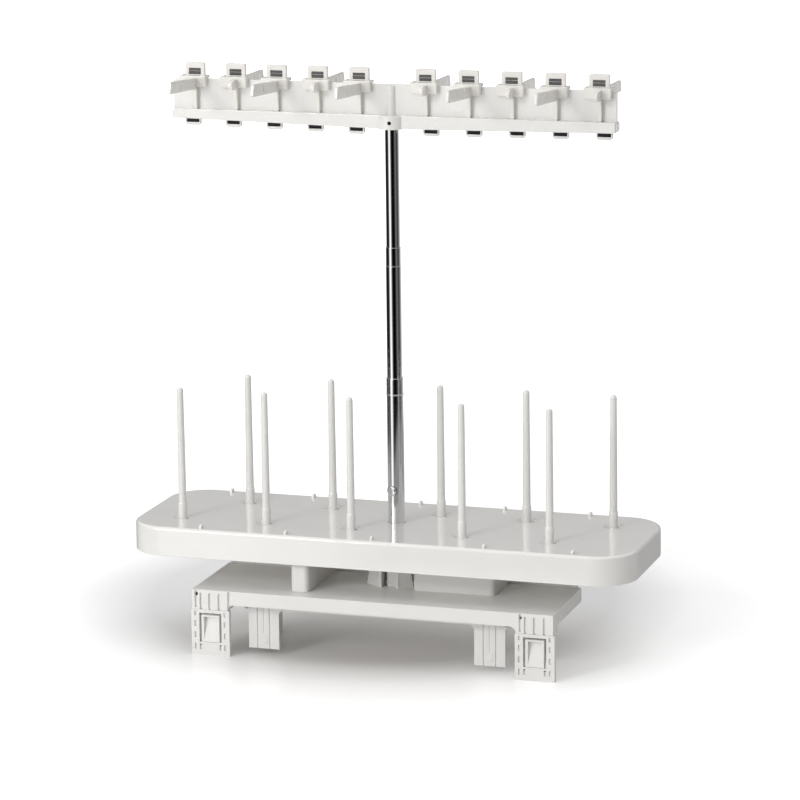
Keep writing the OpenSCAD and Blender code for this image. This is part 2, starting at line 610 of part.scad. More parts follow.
tray();
base_platform();
inner_bracket();
left_riser();
right_riser();
mast_socket();
left_clip_leg();
right_clip_leg();
left_latch();
right_latch();
mast_spigot();
mast_button();
button_spring();
lower_tube();
middle_tube();
middle_glide();
upper_tube();
upper_glide();
guide_bar();
hub_screw();
spool_pin_1();
spool_pin_2();
spool_pin_3();
spool_pin_4();
spool_pin_5();
spool_pin_6();
spool_pin_7();
spool_pin_8();
spool_pin_9();
spool_pin_10();
thread_guide_1();
thread_guide_2();
thread_guide_3();
thread_guide_4();
thread_guide_5();
thread_guide_6();
thread_guide_7();
thread_guide_8();
thread_guide_9();
thread_guide_10();
brake_pads();
lower_eyelets();
tray_screws();
socket_screws();
bracket_screws();
clip_screws();
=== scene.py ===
import json
import math

import bmesh
import bpy
from mathutils import Matrix, Vector
from mathutils.geometry import tessellate_polygon


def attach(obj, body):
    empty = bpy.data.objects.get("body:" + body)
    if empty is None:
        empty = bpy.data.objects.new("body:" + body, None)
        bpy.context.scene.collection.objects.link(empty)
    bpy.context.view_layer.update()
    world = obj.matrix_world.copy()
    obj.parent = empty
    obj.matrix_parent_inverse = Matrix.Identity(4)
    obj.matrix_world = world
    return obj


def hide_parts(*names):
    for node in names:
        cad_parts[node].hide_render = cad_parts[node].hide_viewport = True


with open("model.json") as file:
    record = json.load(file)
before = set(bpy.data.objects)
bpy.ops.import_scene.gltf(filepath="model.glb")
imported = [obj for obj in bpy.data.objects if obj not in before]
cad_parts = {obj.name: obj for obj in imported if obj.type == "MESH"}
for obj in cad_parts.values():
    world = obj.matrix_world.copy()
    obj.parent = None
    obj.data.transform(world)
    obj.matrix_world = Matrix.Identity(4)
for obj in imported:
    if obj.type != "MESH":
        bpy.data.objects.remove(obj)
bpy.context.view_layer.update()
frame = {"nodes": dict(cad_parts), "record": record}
nodes = frame["nodes"]
record = frame["record"]
body_of_node = {n: b for b, ns in record["behaviour"]["bodies"].items() for n in ns}
slot_of_node = {s["node"]: s["material_slot"] for s in record["subparts"]}
MM = 0.001
DECK = 99.5
BAR = 411.0

# ------------------------------------------------------------------ materials


def nt_new(name):
    m = bpy.data.materials.new(name)
    m.use_nodes = True
    t = m.node_tree
    for n in list(t.nodes):
        t.nodes.remove(n)
    out = t.nodes.new("ShaderNodeOutputMaterial")
    b = t.nodes.new("ShaderNodeBsdfPrincipled")
    t.links.new(b.outputs["BSDF"], out.inputs["Surface"])
    return m, t, b


def noise(t, coord, scale, detail=2.0, rough=0.5, stretch=None):
    n = t.nodes.new("ShaderNodeTexNoise")
    n.inputs["Scale"].default_value = scale
    n.inputs["Detail"].default_value = detail
    n.inputs["Roughness"].default_value = rough
    if stretch is None:
        t.links.new(coord, n.inputs["Vector"])
    else:
        mp = t.nodes.new("ShaderNodeMapping")
        mp.inputs["Scale"].default_value = stretch
        t.links.new(coord, mp.inputs["Vector"])
        t.links.new(mp.outputs["Vector"], n.inputs["Vector"])
    return n.outputs["Fac"]


def ramp(t, fac, lo, hi, a=0.35, b=0.65):
    r = t.nodes.new("ShaderNodeMapRange")
    r.inputs["From Min"].default_value = a
    r.inputs["From Max"].default_value = b
    r.inputs["To Min"].default_value = lo
    r.inputs["To Max"].default_value = hi
    t.links.new(fac, r.inputs["Value"])
    return r.outputs["Result"]


def mix(t, fac, a, b):
    m = t.nodes.new("ShaderNodeMix")
    m.data_type = "RGBA"
    m.inputs["A"].default_value = (*a, 1) if not hasattr(a, "links") else (0, 0, 0, 1)
    if hasattr(a, "links"):
        t.links.new(a, m.inputs["A"])
    m.inputs["B"].default_value = (*b, 1)
    t.links.new(fac, m.inputs["Factor"])
    return m.outputs["Result"]


def bump(t, height, dist, strength=1.0, normal=None):
    b = t.nodes.new("ShaderNodeBump")
    b.inputs["Distance"].default_value = dist
    b.inputs["Strength"].default_value = strength
    t.links.new(height, b.inputs["Height"])
    if normal is not None:
        t.links.new(normal, b.inputs["Normal"])
    return b.outputs["Normal"]


def coords(t):
    return t.nodes.new("ShaderNodeTexCoord").outputs["Object"]


def plastic(name, col, col2, rough, grain, coat=0.0, coat_rough=0.1, spec=0.5, sss=0.0):
    """Moulded plastic: faint flow marks in the colour, uneven gloss, a fine skin in the bump."""
    m, t, b = nt_new(name)
    c = coords(t)
    flow = noise(t, c, 22.0, 3.0, 0.55)
    b.inputs["Specular IOR Level"].default_value = spec
    t.links.new(mix(t, ramp(t, flow, 0.0, 1.0), col, col2), b.inputs["Base Color"])
    t.links.new(ramp(t, noise(t, c, 60.0, 4.0, 0.6), rough * 0.85, rough * 1.2), b.inputs["Roughness"])
    skin = noise(t, c, 1500.0, 2.0, 0.5)
    wave = noise(t, c, 35.0, 1.0, 0.4)
    n1 = bump(t, wave, 0.00012, 0.25)
    t.links.new(bump(t, skin, 0.00002, grain, n1), b.inputs["Normal"])
    b.inputs["Coat Weight"].default_value = coat
    b.inputs["Coat Roughness"].default_value = coat_rough
    if sss:
        b.inputs["Subsurface Weight"].default_value = sss
        b.inputs["Subsurface Radius"].default_value = (0.004, 0.0035, 0.003)
        b.inputs["Subsurface Scale"].default_value = 0.5
    return m


def metal(name, col, col2, rough, streak, bumpy, along=(900.0, 900.0, 6.0)):
    """Drawn metal: streaks along Z in gloss and bump, faint stains in the colour."""
    m, t, b = nt_new(name)
    c = coords(t)
    b.inputs["Metallic"].default_value = 1.0
    s = noise(t, c, 1.0, 3.0, 0.6, along)
    st = noise(t, c, 30.0, 3.0, 0.6)
    t.links.new(mix(t, ramp(t, st, 0.0, 1.0), col, col2), b.inputs["Base Color"])
    t.links.new(ramp(t, s, rough * (1 - streak), rough * (1 + streak)), b.inputs["Roughness"])
    t.links.new(bump(t, s, 0.00001, bumpy), b.inputs["Normal"])
    return m


MATS = {
    "white_gloss": plastic("white_gloss", (0.82, 0.808, 0.782), (0.795, 0.783, 0.757), 0.24, 0.12, 0.3, 0.06),
    "white_satin": plastic("white_satin", (0.825, 0.812, 0.787), (0.80, 0.787, 0.762), 0.38, 0.25, 0.0, 0.1),
    "chrome_tube": metal("chrome_tube", (0.80, 0.805, 0.81), (0.74, 0.745, 0.755), 0.07, 0.35, 0.05),
    "steel": metal("steel", (0.55, 0.56, 0.58), (0.45, 0.46, 0.47), 0.3, 0.3, 0.3),
    "dark_plastic": plastic("dark_plastic", (0.006, 0.006, 0.006), (0.01, 0.01, 0.01), 0.5, 0.4, spec=0.3),
    "dark_screw": metal("dark_screw", (0.03, 0.03, 0.03), (0.02, 0.02, 0.02), 0.45, 0.3, 0.3),
}
MATS["pad_grey"] = plastic("pad_grey", (0.11, 0.108, 0.105), (0.09, 0.088, 0.086), 0.6, 0.5, spec=0.4)
MATS["guide_gloss"] = plastic("guide_gloss", (0.82, 0.80, 0.757), (0.795, 0.775, 0.732), 0.24, 0.12, 0.3, 0.06)
MATS["tray_gloss"] = plastic("tray_gloss", (0.84, 0.826, 0.80), (0.82, 0.806, 0.78), 0.13, 0.08, 1.0, 0.07)

# ------------------------------------------------------------------ mesh tools


def finish_mesh(obj, mat, body, replaced=(), slot=None, smooth=40):
    me = obj.data
    me.materials.clear()
    me.materials.append(MATS[mat])
    for p in me.polygons:
        p.use_smooth = True
    me.set_sharp_from_angle(angle=math.radians(smooth))
    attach(obj, body)
    if replaced:
        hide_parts(*replaced)
    return obj


def groups(edges):
    """Edges in sets that share vertices."""
    left = set(edges)
    while left:
        seed = left.pop()
        found, front = [seed], [seed]
        while front:
            e = front.pop()
            for v in e.verts:
                for f in v.link_edges:
                    if f in left:
                        left.remove(f)
                        found.append(f)
                        front.append(f)
        yield found


def soft(name, width=0.4, segs=2, angle=35, big=None, mat=None, smooth=35):
    """A copy of a CAD node with its sharp edges rounded. big = (width in mm, segments, test on an edge) is done first."""
    bm = bmesh.new()
    bm.from_mesh(nodes[name].data)
    bmesh.ops.remove_doubles(bm, verts=bm.verts, dist=3e-6)
    bmesh.ops.dissolve_limit(bm, angle_limit=math.radians(0.4), use_dissolve_boundaries=False, verts=bm.verts, edges=bm.edges)
    done = set()
    if big:
        bw, bs, test = big
        es = [e for e in bm.edges if len(e.link_faces) == 2 and e.calc_face_angle(0) > math.radians(angle) and test(e)]
        bmesh.ops.bevel(bm, geom=es, offset=bw * MM, offset_type="OFFSET", segments=bs, profile=0.5, affect="EDGES", clamp_overlap=True)
    es = [e for e in bm.edges if len(e.link_faces) == 2 and e.calc_face_angle(0) > math.radians(angle)]
    for g in list(groups(es)):
        g = [e for e in g if e.is_valid]
        if g:
            bmesh.ops.bevel(bm, geom=g, offset=width * MM, offset_type="OFFSET", segments=segs, profile=0.5, affect="EDGES", clamp_overlap=True)
    bmesh.ops.recalc_face_normals(bm, faces=bm.faces)
    me = bpy.data.meshes.new(name + "_body")
    bm.to_mesh(me)
    bm.free()
    o = bpy.data.objects.new(name + "_body", me)
    bpy.context.scene.collection.objects.link(o)
    finish_mesh(o, mat or slot_of_node[name], body_of_node[name], [name], slot_of_node[name], smooth)
    w = o.modifiers.new("normals", "WEIGHTED_NORMAL")
    w.keep_sharp = True
    return o


# Shapes are drawn in millimetres as loops with the material on their left, then swept with rounded rims.


def rounded(poly, radii, steps=4):
    """Corners of a closed polygon rounded; one radius for all, or one for each corner."""
    n = len(poly)
    if not isinstance(radii, (list, tuple)):
        radii = [radii] * n
    out = []
    for i in range(n):
        p0, p1, p2 = (Vector(poly[(i + k) % n]) for k in (-1, 0, 1))
        rr = radii[i]
        if rr <= 0:
            out.append(p1)
            continue
        e1, e2 = (p0 - p1).normalized(), (p2 - p1).normalized()
        half = e1.angle(e2) / 2
        cut = rr / math.tan(half)
        c = p1 + (e1 + e2).normalized() * (rr / math.sin(half))
        a, b = p1 + e1 * cut - c, p1 + e2 * cut - c
        total = math.atan2(a.x * b.y - a.y * b.x, a.dot(b))
        for k in range(steps + 1):
            w = total * k / steps
            out.append(c + Vector((a.x * math.cos(w) - a.y * math.sin(w), a.x * math.sin(w) + a.y * math.cos(w))))
    return out


def circle(cx, cy, rr, n=32, hole=False):
    pts = [Vector((cx + rr * math.cos(2 * math.pi * k / n), cy + rr * math.sin(2 * math.pi * k / n))) for k in range(n)]
    return pts[::-1] if hole else pts


def rect(x0, x1, y0, y1, rr=0.0, steps=4, hole=False):
    pts = rounded([(x0, y0), (x1, y0), (x1, y1), (x0, y1)], rr, steps)
    return pts[::-1] if hole else pts


def inset(loop, dist):
    n, out = len(loop), []
    for i in range(n):
        e1 = (loop[i] - loop[i - 1]).normalized()
        e2 = (loop[(i + 1) % n] - loop[i]).normalized()
        n1, n2 = Vector((-e1.y, e1.x)), Vector((-e2.y, e2.x))
        out.append(loop[i] + (n1 + n2) * (dist / max(1 + n1.dot(n2), 0.3)))
    return out


XZ = lambda a, b, t: (a, t, b)
YZ = lambda a, b, t: (t, a, b)
XY = lambda a, b, t: (a, b, t)


def from_faces(name, verts, faces):
    bm = bmesh.new()
    vs = [bm.verts.new([c * MM for c in v]) for v in verts]
    for f in faces:
        bm.faces.new([vs[i] for i in f])
    bmesh.ops.recalc_face_normals(bm, faces=bm.faces)
    me = bpy.data.meshes.new(name)
    bm.to_mesh(me)
    bm.free()
    o = bpy.data.objects.new(name, me)
    bpy.context.scene.collection.objects.link(o)
    return o


def plate(loops, t0, t1, put, r0=0.4, r1=None, segs=3, name="shape"):
    """Loops (the outline, then its holes) swept from t0 to t1, both rims rounded."""
    r1 = r0 if r1 is None else r1
    rings = []
    if r0 > 0:
        rings += [(r0 * (1 - math.sin(math.pi / 2 * k / segs)), t0 + r0 * (1 - math.cos(math.pi / 2 * k / segs))) for k in range(segs + 1)]
    else:
        rings.append((0.0, t0))
    if r1 > 0:
        rings += [(r1 * (1 - math.cos(math.pi / 2 * k / segs)), t1 - r1 * (1 - math.sin(math.pi / 2 * k / segs))) for k in range(segs + 1)]
    else:
        rings.append((0.0, t1))
    verts, faces, count = [], [], sum(len(lp) for lp in loops)
    for dist, t in rings:
        for lp in loops:
            verts += [put(p.x, p.y, t) for p in (inset(lp, dist) if dist else lp)]
    for k in range(len(rings) - 1):
        at = 0
        for lp in loops:
            n = len(lp)
            for i in range(n):
                a, b = k * count + at + i, k * count + at + (i + 1) % n
                faces.append((a, b, b + count, a + count))
            at += n
    for k in (0, len(rings) - 1):
        flat = [[Vector((p.x, p.y, 0)) for p in (inset(lp, rings[k][0]) if rings[k][0] else lp)] for lp in loops]
        faces += [tuple(k * count + i for i in tri) for tri in tessellate_polygon(flat)]
    return from_faces(name, verts, faces)


def lathe(profile, segs=64, turn=None, name="shape"):
    """A closed (r, z) outline turned round Z, then moved by a matrix in millimetres."""
    rings, verts, faces = [], [], []
    for p in profile:
        if p[0] < 1e-6:
            rings.append([len(verts)] * segs)
            verts.append((0, 0, p[1]))
        else:
            rings.append(list(range(len(verts), len(verts) + segs)))
            verts += [(p[0] * math.cos(2 * math.pi * k / segs), p[0] * math.sin(2 * math.pi * k / segs), p[1]) for k in range(segs)]
    for a, b in zip(rings, rings[1:] + rings[:1]):
        if a[0] == a[1] and b[0] == b[1]:
            continue
        for k in range(segs):
            q = [a[k], a[(k + 1) % segs], b[(k + 1) % segs], b[k]]
            q = [v for i, v in enumerate(q) if v not in q[:i]]
            faces.append(q)
    if turn is not None:
        verts = [tuple(turn @ Vector(v)) for v in verts]
    return from_faces(name, verts, faces)


def facing(z_mm, deg):
    """Local Z turned to point to the front, then round the mast by deg."""
    return Matrix.Translation((0, 0, z_mm)) @ Matrix.Rotation(math.radians(deg), 4, "Z") @ Matrix.Rotation(math.radians(90), 4, "X")


def shift(obj, x=0.0, y=0.0, z=0.0):
    obj.data.transform(Matrix.Translation((x * MM, y * MM, z * MM)))
    return obj


def joined(obj, others, operation="UNION"):
    """An exact boolean of one shape with a set of others, which are used up."""
    if not others:
        return obj
    col = bpy.data.collections.new("operands")
    bpy.context.scene.collection.children.link(col)
    for o in others:
        col.objects.link(o)
    mod = obj.modifiers.new("join", "BOOLEAN")
    mod.operation, mod.solver, mod.operand_type, mod.collection = operation, "EXACT", "COLLECTION", col
    me = bpy.data.meshes.new_from_object(obj.evaluated_get(bpy.context.evaluated_depsgraph_get()))
    obj.modifiers.clear()
    obj.data = me
    for o in others:
        bpy.data.objects.remove(o)
    bpy.data.collections.remove(col)
    return obj


def piece(obj, node, mat=None, smooth=38):
    obj.name = node + "_body"
    obj.data.name = node + "_body"
    bm = bmesh.new()
    bm.from_mesh(obj.data)
    bmesh.ops.remove_doubles(bm, verts=bm.verts, dist=1e-6)
    bmesh.ops.dissolve_degenerate(bm, dist=1e-6, edges=bm.edges)
    bmesh.ops.recalc_face_normals(bm, faces=bm.faces)
    bm.to_mesh(obj.data)
    bm.free()
    finish_mesh(obj, mat or slot_of_node[node], body_of_node[node], [node], slot_of_node[node], smooth)
    w = obj.modifiers.new("normals", "WEIGHTED_NORMAL")
    w.keep_sharp = True
    return obj


# ------------------------------------------------------------------ pieces

for n, o in nodes.items():
    o.data.materials.clear()
    o.data.materials.append(MATS[slot_of_node[n]])

PIN = [(s * (27.6 + k * 70), 0) for s, k in zip([-1] * 5 + [1] * 5, [2, 1.5, 1, 0.5, 0, 0, 0.5, 1, 1.5, 2])]
PIN = [(x, -29.75 if i % 2 == 0 else 29.75) for i, (x, _) in enumerate(PIN)]
HALF_L, HALF_W = 203.6, 64.75

# tray: one moulding with a soft top edge, a skirt, ribs, ten dished seats and ten thread ribs
outline = rect(-HALF_L, HALF_L, -HALF_W, HALF_W, 31, 22)
tray = plate([outline], DECK - 23, DECK, XY, 0.5, 2.5, 6)
room = plate([rect(-HALF_L + 2.5, HALF_L - 2.5, -HALF_W + 2.5, HALF_W - 2.5, 28.5, 22)], DECK - 24, DECK - 2.5, XY, 0, 1.2, 3)
joined(tray, [room], "DIFFERENCE")
extra = []
for s in (-1, 1):
    for k in (1.25, 1.85):
        x = s * (27.6 + k * 70)
        extra.append(plate([rect(x - 1, x + 1, -HALF_W + 2, HALF_W - 2)], DECK - 9, DECK - 2, XY, 0.4, 0))
    extra.append(plate([rect(min(s * 96, s * 201.6), max(s * 96, s * 201.6), -1, 1)], DECK - 9, DECK - 2, XY, 0.4, 0))
for x, y in ((-61.7, -34), (-61.7, 2), (38, -20), (72, -4)):
    extra.append(shift(lathe([(1.5, DECK - 14), (4.5, DECK - 14), (4.5, DECK - 2), (1.5, DECK - 2)], 40), x, y))
for i, (x, y) in enumerate(PIN):
    s = 1 if i % 2 == 0 else -1
    nub = rounded([(-2.6, -0.5), (2.6, -0.5), (2.6, 2.3), (0.9, 2.3), (0.9, 3.2), (-0.9, 3.2), (-0.9, 2.3), (-2.6, 2.3)],
                  [0, 0, 0.5, 0.4, 0.85, 0.85, 0.4, 0.5], 4)
    extra.append(shift(plate([nub], -1, 1, YZ, 0.3), x + s * 26.3, -s * 59, DECK))
joined(tray, extra)
cuts = [lathe([(0, DECK - 10), (6.85, DECK - 10), (6.85, DECK - 0.3), (7.15, DECK), (7.15, DECK + 5), (0, DECK + 5)], 64)]
for x, y in PIN:
    cuts.append(shift(lathe([(0, DECK - 0.5), (7.75, DECK - 0.5), (7.93, DECK - 0.42), (8, DECK - 0.25), (8, DECK - 0.2), (8.06, DECK - 0.07), (8.2, DECK), (8.2, DECK + 2), (0, DECK + 2)], 64), x, y))
    key = [Vector(p) for p in [(-6.3, -1.45), (-2.85, -1.45)]]
    a0 = math.asin(1.45 / 3.2)
    key += [Vector((3.2 * math.cos(w), 3.2 * math.sin(w))) for w in [math.pi + a0 + (math.pi - 2 * a0) * k / 16 for k in range(17)]]
    key += [Vector(p) for p in [(6.3, -1.45), (6.3, 1.45)]]
    key += [Vector((3.2 * math.cos(w), 3.2 * math.sin(w))) for w in [a0 + (math.pi - 2 * a0) * k / 16 for k in range(17)]]
    key += [Vector((-6.3, 1.45))]
    del key[1]
    cuts.append(shift(plate([key], DECK - 10, DECK + 3, XY, 0), x, y))
joined(tray, cuts, "DIFFERENCE")
piece(tray, "tray", "tray_gloss")

# spool pins
pin_outline = rounded([(0, -5.1), (3.14, -5.1), (3.14, -0.48), (3.55, -0.48), (3.55, 11.5), (3.05, 12.7), (2.6, 102.4)],
                      [0, 0.4, 0, 0.15, 0.35, 0.5, 0], 4)
pin_outline += [Vector((2.6 * math.cos(w), 102.4 + 2.6 * math.sin(w))) for w in [math.pi / 2 * k / 8 for k in range(1, 9)]]
pin_outline[-1].x = 0
for i, (x, y) in enumerate(PIN, 1):
    pin = lathe(pin_outline, 48)
    joined(pin, [plate([rect(-1.25, 1.25, -6.1, 6.1, 0.5)], -4.8, -2.65, XY, 0.3)])
    piece(shift(pin, x, y, DECK), f"spool_pin_{i}")

# chrome tubes, the lower and the middle one each with a drawn-in mouth
lower = lathe(rounded([(6.5, 60.1), (6.5, 201.9), (6.85, 201.9), (6.85, 202.8), (6.65, 202.8), (6.65, 215.3), (6.0, 215.3), (6.0, 201.7), (6.1, 201.7), (6.1, 60.1)],
                      [0.1, 0.1, 0.3, 0.3, 0.1, 0.22, 0.12, 0, 0, 0.1], 5), 96)
joined(lower, [lathe([(0, 0), (4.2, 0), (4.2, 20), (0, 20)], 64, facing(DECK + 26.4, -14.5))], "DIFFERENCE")
piece(lower, "lower_tube")
middle = lathe(rounded([(5.95, 198.5), (5.95, 303.5), (5.78, 303.6), (5.78, 303.95), (5.83, 304.05), (5.83, 318.2), (5.45, 318.2), (5.45, 303.3), (5.55, 303.3), (5.55, 198.5)],
                       [0.1, 0.08, 0.04, 0.03, 0.03, 0.15, 0.03, 0, 0, 0.1], 4), 96)
piece(middle, "middle_tube")
upper = lathe(rounded([(5.4, 300.1), (5.4, 419), (5.0, 419), (5.0, 300.1)], 0.1, 3), 96)
piece(upper, "upper_tube")
button = lathe(rounded([(0, 1.7), (4.05, 1.7), (4.05, 2.6), (3.8, 2.6), (3.8, 7.35), (3.1, 7.89), (0, 7.89)], [0, 0.2, 0.1, 0, 0.5, 0.6, 0], 5), 64, facing(DECK + 26.4, -14.5))
piece(button, "mast_button")

# guide bar: rail, panel, hub, ribs and ten loops
GUIDE_X = [-(26.3 + (5 - i) * 33.55) if i <= 5 else 27 + (i - 6) * 34.2 for i in range(1, 11)]
TOP = BAR + 33.6


def rise(x):
    """The rail's lower edge rises a little to both ends."""
    return (0.0194 if x < 0 else 0.0135) * max(0, abs(x) - 27)


bar = plate([rounded([(-178, BAR + rise(-178)), (-27, BAR), (27, BAR), (178, BAR + rise(178)), (178, BAR + 10.2), (-178, BAR + 10.2)],
                     [0.9, 0, 0, 0.9, 0.9, 0.9], 4)], -6, 6, XZ, 0.6)
joined(bar, [plate([rect(-4.4, 4.4, BAR - 3, BAR + 8.4, 0.5)], -176, 176, YZ, 0.4)], "DIFFERENCE")
extra = [plate([rounded([(-178, BAR + 9), (178, BAR + 9), (178, TOP), (-178, TOP)], [0, 0, 3, 3], 10)], -1, 2, XZ, 0.5),
         lathe(rounded([(0, BAR - 0.4), (11.2, BAR - 0.4), (11.2, BAR + 10.2), (0, BAR + 10.2)], [0, 0.5, 0.8, 0], 5), 96),
         lathe(rounded([(0, BAR + 8), (3.5, BAR + 8), (3.5, TOP - 1), (0, TOP - 1)], [0, 0, 0.7, 0], 4), 48)]
for s in (-1, 1):
    extra.append(shift(plate([rounded([(1.5, BAR + 9), (6, BAR + 9), (6, BAR + 24), (1.5, BAR + 24)], [0, 0, 2.5, 0], 5)], -1.2, 1.2, YZ, 0.4), s * 16))
cuts = [lathe([(5.43, BAR - 2), (5.43, BAR + 8.2), (4.97, BAR + 8.2), (4.97, BAR - 2)], 96),
        lathe([(0, 0), (1.5, 0), (1.5, 20), (0, 20)], 32, facing(BAR + 4.8, 7))]
for i, x in enumerate(GUIDE_X, 1):
    s = -1 if i <= 5 else 1
    extra.append(shift(plate([rect(-0.8, 0.8, -5, 5)], BAR + 3.4, BAR + 9, XY, 0.3, 0), x + s * 14))
    loop = rounded([(-6.4, -4.8), (-4.8, -6.4), (4.8, -6.4), (6.4, -4.8), (6.4, 1), (-6.4, 1)], [0.8, 0.8, 0.8, 0.8, 0, 0], 3)
    extra.append(shift(plate([loop, rect(-5.1, 5.1, -3.9, -0.9, 0.3, 3, hole=True)], 3, 5.8, XZ, 0.4), x + s * 3.35, 0, BAR + rise(x)))
    cuts.append(shift(plate([rect(-0.1, 3.1, -4.35, -2.7)], BAR + 4, BAR + 11.2, XY, 0), x))
joined(bar, extra)
joined(bar, cuts, "DIFFERENCE")
piece(bar, "guide_bar")

# thread guides: head astride the panel, tab with a window, stem, and an arm and a nose in one plane
for i, x in enumerate(GUIDE_X, 1):
    front = i % 2 == 1
    ya, yn, yc = (5.9, 4.9, 12.2) if front else (4.9, 5.9, 13.2)
    to_arm = (lambda a, b, t: (t, -a, b)) if front else (lambda a, b, t: (t, a, b))
    to_nose = (lambda a, b, t: (t, a, b)) if front else (lambda a, b, t: (t, -a, b))
    to_front = lambda a, b, t: (t, -a, b)
    guide = plate([rounded([(-6, -6), (-1.05, -6), (-1.05, 0.1), (5, 0.1), (5, 2.4), (-6, 2.4)], [0.5, 0.15, 0, 0.3, 0.6, 0.8], 4)], -10.8, 10.8, YZ, 0.5)
    mid, tip, low = (-1.9, 4.1, -5) if front else (-3.7, 0.6, -8.2)
    eye = [Vector((36.5 + 0.6 * math.cos(w), mid + (1.4 if math.sin(w) > 0 else -1.4) + 0.6 * math.sin(w))) for w in [-2 * math.pi * (k + 0.5) / 16 for k in range(16)]]
    nose = [Vector((yn, -6.9))] + [Vector((yc + 3.8 * math.cos(w), -3.1 + 3.8 * math.sin(w))) for w in [-math.pi / 2 + math.pi * k / 18 for k in range(19)]] + [Vector((yn, 0.7))]
    arm = plate([rounded([(ya, -7.9), (59.5, low), (57, tip), (ya, 0.6)], [0, 1.2, 1.6, 0], 5), eye], -0.2, 3.2, to_arm, 0.45)
    for v in arm.data.vertices:  # a little thinner to the tip
        v.co.x = 1.5 * MM + (v.co.x - 1.5 * MM) * (1 - 0.4 * max(0.0, abs(v.co.y) / MM - 14) / 45)
    joined(guide, [
        plate([rect(-9, 9, -6, 1.5, 0.3)], 2.05, 5, XZ, 0.4),
        plate([rounded([(-8, 0.8), (8, 0.8), (8, 12), (-8, 12)], [0, 0, 1.3, 1.3], 5), rect(-4.85, 4.85, 2.8, 7.7, 0.35, 3, hole=True)], 0.6, 3.6, XZ, 0.35),
        arm,
        plate([nose], -0.2, 3.2, to_nose, 0.45),
        plate([rounded([(1.05, -23.35), (4.6, -22.4), (5.8, -5), (1.05, -5)], [0.1, 0.4, 0, 0], 3)], -0.2, 3.2, to_front, 0.4),
        plate([rounded([(2.2, -30.1), (4.25, -30.1), (4.25, -21.5), (2.9, -21.5), (2.9, -29), (2.2, -29)], [0.1, 0.2, 0, 0, 0, 0.1], 2)], 0.2, 2.8, to_front, 0.15),
    ])
    piece(shift(guide, x, 0, TOP), f"thread_guide_{i}", "guide_gloss")

# pads in the windows, with the thread's slit between them
verts, faces = [], []
pads = []
for x in GUIDE_X:
    for z0, z1 in ((2.85, 5.1), (5.4, 7.65)):
        pads.append(shift(plate([rect(-4.8, 4.8, z0, z1, 0.35, 3)], 1.2, 3.4, XZ, 0.3), x, 0, TOP))
base = pads[0]
bm = bmesh.new()
for o in pads:
    bm.from_mesh(o.data)
bm.to_mesh(base.data)
bm.free()
for o in pads[1:]:
    bpy.data.objects.remove(o)
piece(base, "brake_pads", "pad_grey")

for n in ("base_platform", "inner_bracket", "left_riser", "right_riser", "mast_socket"):
    soft(n, 0.4)
for n in ("left_clip_leg", "right_clip_leg", "left_latch", "right_latch"):
    soft(n, 0.2)

# low rib on the platform's back edge, which closes the view under the tray
for s, side in ((-1, "left"), (1, "right")):
    rib = plate([rounded([(-62, 52.95), (62, 52.95), (62, 58.6), (-62, 58.6)], [0, 0, 1.5, 1.5], 4)], 11.3, 13.8, XZ, 0.4)
    rib.name = f"{side}_platform_rib"
    rib.data.name = rib.name
    finish_mesh(shift(rib, s * 81.5), "white_satin", "stand", (), "white_satin")

# ------------------------------------------------------------------ stage


def stage_plane(name, verts, mat, faces=None):
    me = bpy.data.meshes.new(name)
    me.from_pydata(verts, [], faces or [tuple(range(len(verts)))])
    o = bpy.data.objects.new(name, me)
    bpy.context.scene.collection.objects.link(o)
    me.materials.append(mat)
    return o


floor_mat, t, b = nt_new("floor_paint_and_painted_shade")
c = coords(t)
ln = t.nodes.new("ShaderNodeVectorMath")
ln.operation = "LENGTH"
t.links.new(c, ln.inputs[0])
worn = mix(t, noise(t, c, 3.0, 3.0), (0.88, 0.88, 0.88), (0.865, 0.865, 0.865))
# painted shadow: the floor's colour turns darker and warmer under the stand, fully within 0.06 m of the middle and
# fading out by 0.2 m
t.links.new(mix(t, ramp(t, ln.outputs["Value"], 1.0, 0.0, 0.06, 0.2), worn, (0.67, 0.65, 0.625)), b.inputs["Base Color"])
t.links.new(ramp(t, noise(t, c, 9.0, 3.0), 0.30, 0.38), b.inputs["Roughness"])
b.inputs["Specular IOR Level"].default_value = 0.35
# painted light: the floor glows white to the camera only, rising away from a point behind and left of the stand and
# further out, which leaves a painted shade round the stand
behind = t.nodes.new("ShaderNodeMapping")
behind.inputs["Location"].default_value = (0.055, -0.13, 0)
t.links.new(c, behind.inputs["Vector"])
off = t.nodes.new("ShaderNodeVectorMath")
off.operation = "LENGTH"
t.links.new(behind.outputs["Vector"], off.inputs[0])
close = t.nodes.new("ShaderNodeMath")
close.operation = "ADD"
t.links.new(ramp(t, off.outputs["Value"], 0.0, 0.26, 0.19, 0.255), close.inputs[0])
t.links.new(ramp(t, off.outputs["Value"], 0.0, 0.12, 0.25, 0.34), close.inputs[1])
near = close.outputs[0]
glow = t.nodes.new("ShaderNodeMath")
glow.operation = "ADD"
t.links.new(near, glow.inputs[0])
t.links.new(ramp(t, ln.outputs["Value"], 0.0, 0.5, 0.3, 2.0), glow.inputs[1])
b.inputs["Emission Color"].default_value = (1, 1, 1, 1)
seen_only = t.nodes.new("ShaderNodeMath")
seen_only.operation = "MULTIPLY"
t.links.new(glow.outputs[0], seen_only.inputs[0])
t.links.new(t.nodes.new("ShaderNodeLightPath").outputs["Is Camera Ray"], seen_only.inputs[1])
t.links.new(seen_only.outputs[0], b.inputs["Emission Strength"])
stage_plane("floor", [(-14, -14, 0), (14, -14, 0), (14, 20, 0), (-14, 20, 0)], floor_mat)

